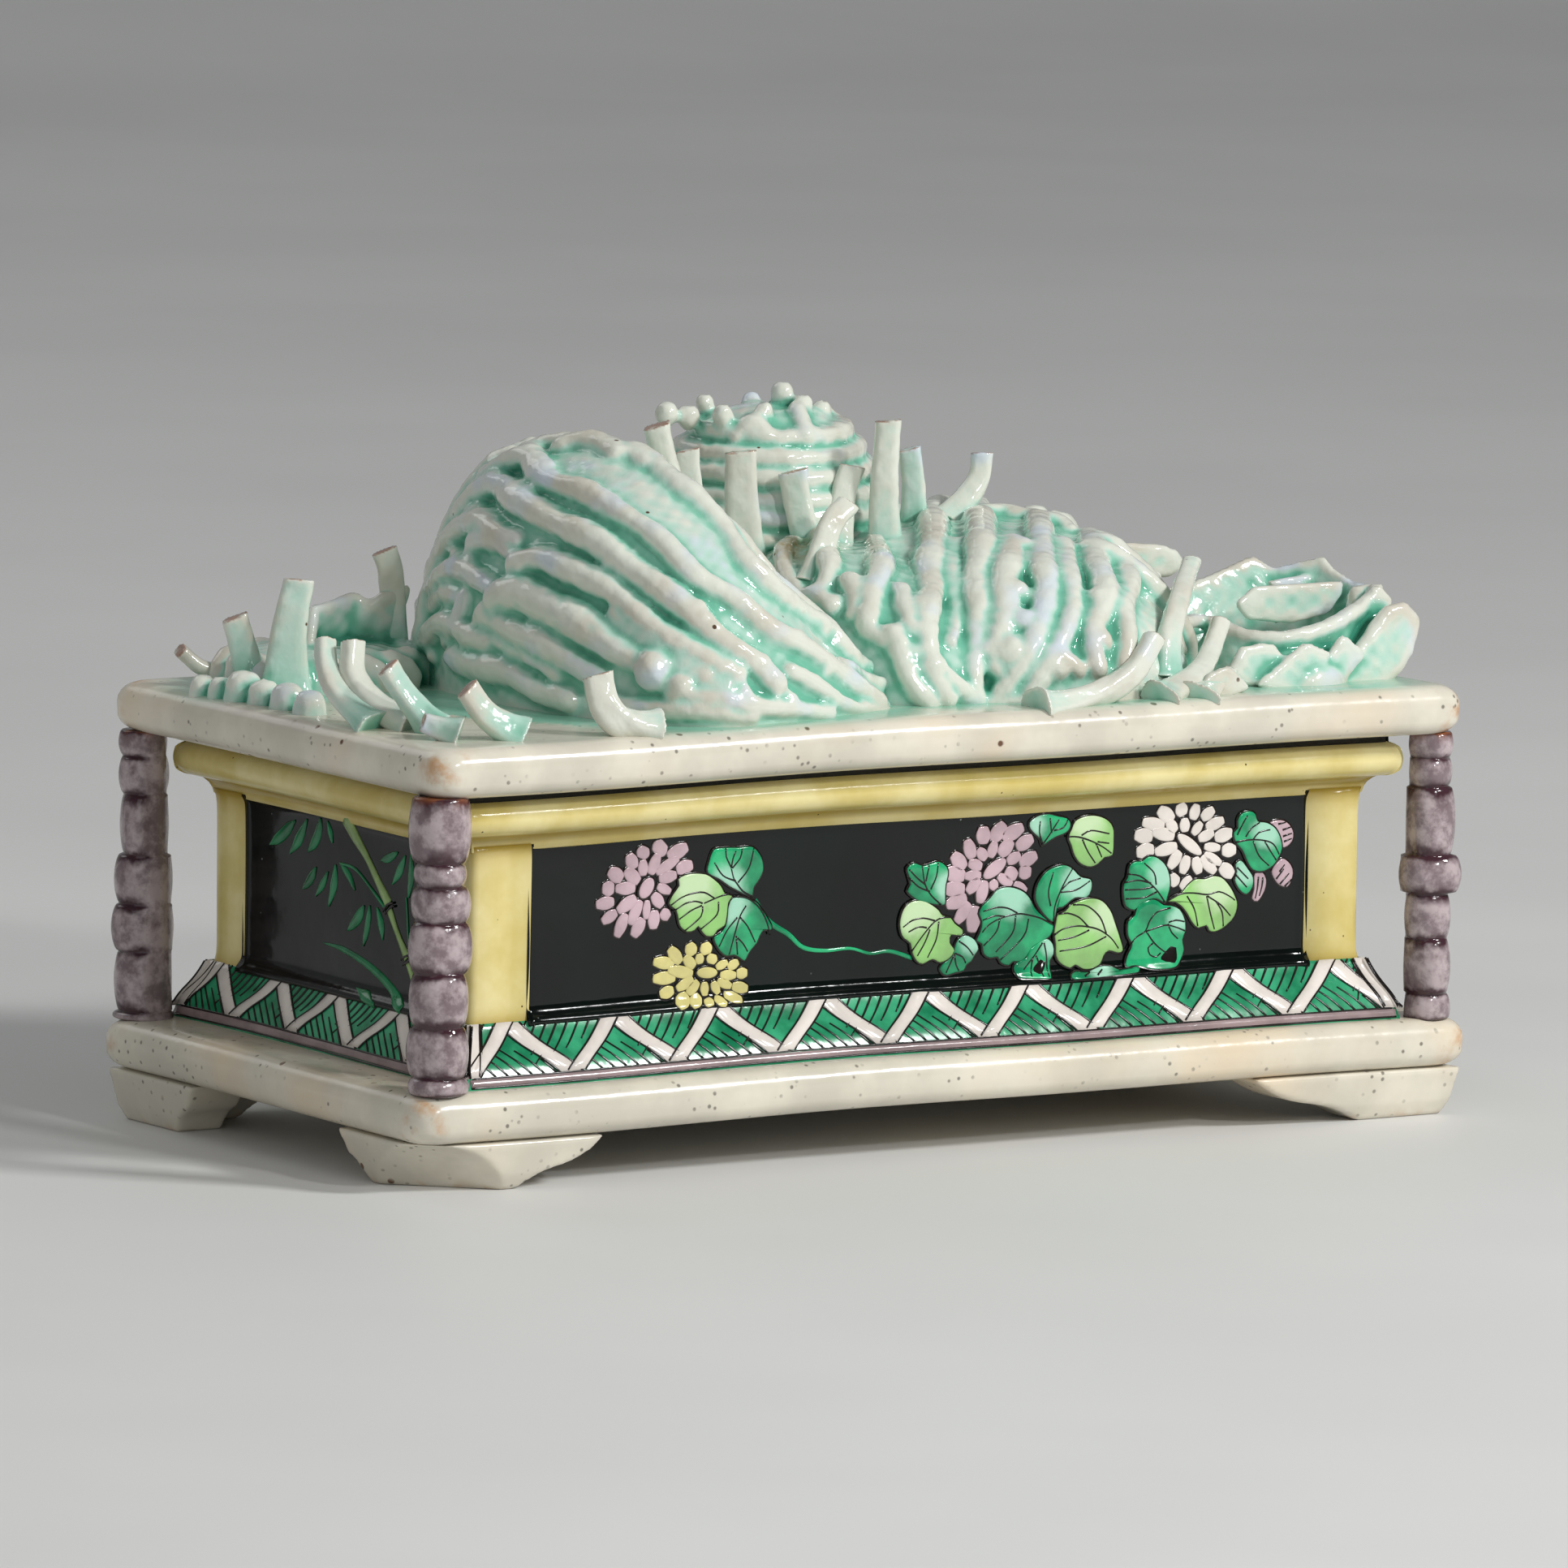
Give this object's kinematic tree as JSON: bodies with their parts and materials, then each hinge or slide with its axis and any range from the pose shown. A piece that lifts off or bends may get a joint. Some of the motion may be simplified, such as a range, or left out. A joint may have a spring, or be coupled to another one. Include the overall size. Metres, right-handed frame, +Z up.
{
  "type": "brush rest",
  "caption": "Glazed ceramic brush rest: a mountain of ridged clay and cut strips on a rectangular stand with painted walls, corner columns and bracket feet.",
  "frame": {"origin": "centre of the footprint on the surface that the feet stand on", "axes": "+X along the long front towards the right, +Y towards the back, +Z up"},
  "size_m": [0.17, 0.085, 0.0992],
  "materials": {
    "ivory_glaze": "glossy, warm ivory with fine dark specks",
    "celadon_glaze": "glossy, pale on the ridges and sea green in the hollows",
    "yellow_glaze": "glossy straw yellow",
    "black_glaze": "glossy green-black with painted flowers",
    "green_band_glaze": "glossy emerald with off-white straps and black lines",
    "aubergine_glaze": "glossy mottled aubergine"
  },
  "bodies": {
    "root": {"base_slab": "ivory_glaze", "top_slab": "ivory_glaze", "foot_front_left": "ivory_glaze", "corner_post_front_left": "yellow_glaze", "column_front_left": "aubergine_glaze", "foot_front_right": "ivory_glaze", "corner_post_front_right": "yellow_glaze", "column_front_right": "aubergine_glaze", "foot_back_left": "ivory_glaze", "corner_post_back_left": "yellow_glaze", "column_back_left": "aubergine_glaze", "foot_back_right": "ivory_glaze", "corner_post_back_right": "yellow_glaze", "column_back_right": "aubergine_glaze", "panel_front": "black_glaze", "skirt_front": "green_band_glaze", "cornice_front": "yellow_glaze", "panel_right": "black_glaze", "skirt_right": "green_band_glaze", "cornice_right": "yellow_glaze", "panel_back": "black_glaze", "skirt_back": "green_band_glaze", "cornice_back": "yellow_glaze", "panel_left": "black_glaze", "skirt_left": "green_band_glaze", "cornice_left": "yellow_glaze", "peak_left": "celadon_glaze", "peak_middle": "celadon_glaze", "rock_right": "celadon_glaze", "peak_right": "celadon_glaze", "ledge_left": "celadon_glaze", "stone_row": "celadon_glaze", "strip_left_1": "celadon_glaze", "strip_left_2": "celadon_glaze", "strip_left_3": "celadon_glaze", "strip_left_4": "celadon_glaze", "strip_left_5": "celadon_glaze", "strip_left_6": "celadon_glaze", "strip_left_7": "celadon_glaze", "strip_left_8": "celadon_glaze", "strip_left_9": "celadon_glaze", "strip_front_1": "celadon_glaze", "strip_front_2": "celadon_glaze", "strip_front_3": "celadon_glaze", "strip_front_4": "celadon_glaze", "strip_front_5": "celadon_glaze", "strip_valley_1": "celadon_glaze", "strip_valley_2": "celadon_glaze", "strip_valley_3": "celadon_glaze", "strip_valley_4": "celadon_glaze", "strip_valley_5": "celadon_glaze", "strip_valley_6": "celadon_glaze", "strip_valley_7": "celadon_glaze", "strip_valley_8": "celadon_glaze", "strip_crest": "celadon_glaze", "strip_back_1": "celadon_glaze", "strip_back_2": "celadon_glaze"}
  },
  "joints": []
}
